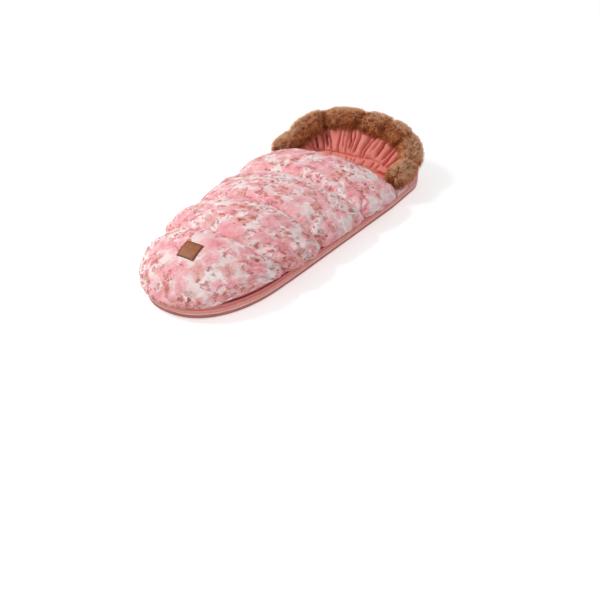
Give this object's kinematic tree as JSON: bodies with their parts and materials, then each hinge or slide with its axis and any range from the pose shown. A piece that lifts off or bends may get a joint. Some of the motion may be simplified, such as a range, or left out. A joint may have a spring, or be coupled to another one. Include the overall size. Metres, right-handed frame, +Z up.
{
  "type": "stroller sleeping bag",
  "caption": "Padded stroller sleeping bag: quilted cover in folding panels, zipped round the foot, with harness slots and a gathered hood with a fur rim.",
  "frame": {"origin": "on the underside, on the centre line, at mid length", "axes": "+Z up off the lying surface, +Y from the foot to the head, +X to the right of someone who looks along +Y"},
  "size_m": [0.5032, 1.103, 0.174],
  "materials": {
    "print_fabric": "woven cotton or polyester with an all-over pink, rose and rust blossom print, matt",
    "underside_fabric": "plain grey woven fabric with a dry, slightly grippy face",
    "lining_fabric": "soft coral lining, matt",
    "wadding": "white polyester fibre wadding",
    "trim_fabric": "coral woven trim and piping, slight sheen",
    "slot_binding": "coral woven binding",
    "zip_tape": "coral woven zip tape",
    "zip_coil": "coral nylon coil",
    "zip_stop": "coral moulded stop",
    "zip_metal": "cast zinc zip slider and pull, satin",
    "faux_fur": "long-pile imitation fur, brown with pale tips",
    "elastic": "flat woven elastic",
    "label_leather": "tan leather patch, smooth, stitched round its edge"
  },
  "bodies": {
    "bag": {"back_lining": "lining_fabric", "back_shell": "underside_fabric", "back_wadding": "wadding", "side_wadding": "wadding", "side_band": "trim_fabric", "base_piping": "trim_fabric", "base_zip_coil": "zip_coil", "base_zip_tape": "zip_tape", "base_zip_stop_left": "zip_stop", "base_zip_stop_right": "zip_stop", "crotch_slot_binding": "slot_binding", "lower_shoulder_slot_left_binding": "slot_binding", "lower_shoulder_slot_right_binding": "slot_binding", "upper_shoulder_slot_left_binding": "slot_binding", "upper_shoulder_slot_right_binding": "slot_binding", "foot_cover_shell": "print_fabric", "foot_cover_wadding": "wadding", "foot_cover_lining": "lining_fabric", "foot_cover_zip_tape": "zip_tape", "foot_cover_zip_coil": "zip_coil", "foot_cover_piping": "trim_fabric", "leather_label": "label_leather"},
    "thigh_panel": {"thigh_cover_shell": "print_fabric", "thigh_cover_wadding": "wadding", "thigh_cover_lining": "lining_fabric", "thigh_cover_zip_tape_left": "zip_tape", "thigh_cover_zip_tape_right": "zip_tape", "thigh_cover_zip_coil_left": "zip_coil", "thigh_cover_zip_coil_right": "zip_coil", "thigh_cover_piping_left": "trim_fabric", "thigh_cover_piping_right": "trim_fabric"},
    "chest_panel": {"chest_cover_shell": "print_fabric", "chest_cover_wadding": "wadding", "chest_cover_lining": "lining_fabric", "chest_cover_zip_tape_left": "zip_tape", "chest_cover_zip_tape_right": "zip_tape", "chest_cover_zip_coil_left": "zip_coil", "chest_cover_zip_coil_right": "zip_coil", "chest_cover_piping_left": "trim_fabric", "chest_cover_piping_right": "trim_fabric", "cover_zip_stop_left": "zip_stop", "cover_zip_stop_right": "zip_stop"},
    "hood": {"hood_shell": "print_fabric", "hood_wadding": "wadding", "hood_lining": "lining_fabric", "hood_elastic": "elastic", "fur_trim": "faux_fur"},
    "slider_left": {"zip_slider_left": "zip_metal"},
    "slider_right": {"zip_slider_right": "zip_metal"},
    "pull_left": {"pull_tab_left": "zip_metal"},
    "pull_right": {"pull_tab_right": "zip_metal"}
  },
  "joints": [
    {"name": "thigh_fold", "type": "hinge", "parent": "bag", "child": "thigh_panel", "pos_m": [0, -0.114, 0.1475], "axis": [1, 0, 0], "range_deg": [0, 110]},
    {"name": "chest_fold", "type": "hinge", "parent": "thigh_panel", "child": "chest_panel", "pos_m": [0, 0.099, 0.1286], "axis": [1, 0, 0], "range_deg": [0, 120]},
    {"name": "hood_fold", "type": "hinge", "parent": "bag", "child": "hood", "pos_m": [0, 0.55, 0.0293], "axis": [-1, 0, 0], "range_deg": [0, 75]},
    {"name": "zip_slide_left", "type": "slide", "parent": "bag", "child": "slider_left", "axis": [-0.0724, 0.9974, 0], "range_m": [-0.06, 0.38]},
    {"name": "zip_slide_right", "type": "slide", "parent": "bag", "child": "slider_right", "axis": [0.0724, 0.9974, 0], "range_m": [-0.06, 0.38]},
    {"name": "pull_tab_left_swing", "type": "hinge", "parent": "slider_left", "child": "pull_left", "pos_m": [-0.1956, -0.1252, 0.0399], "axis": [0, 0, -1], "range_deg": [0, 160]},
    {"name": "pull_tab_right_swing", "type": "hinge", "parent": "slider_right", "child": "pull_right", "pos_m": [0.1956, -0.1252, 0.0399], "axis": [0, 0, 1], "range_deg": [0, 160]}
  ]
}
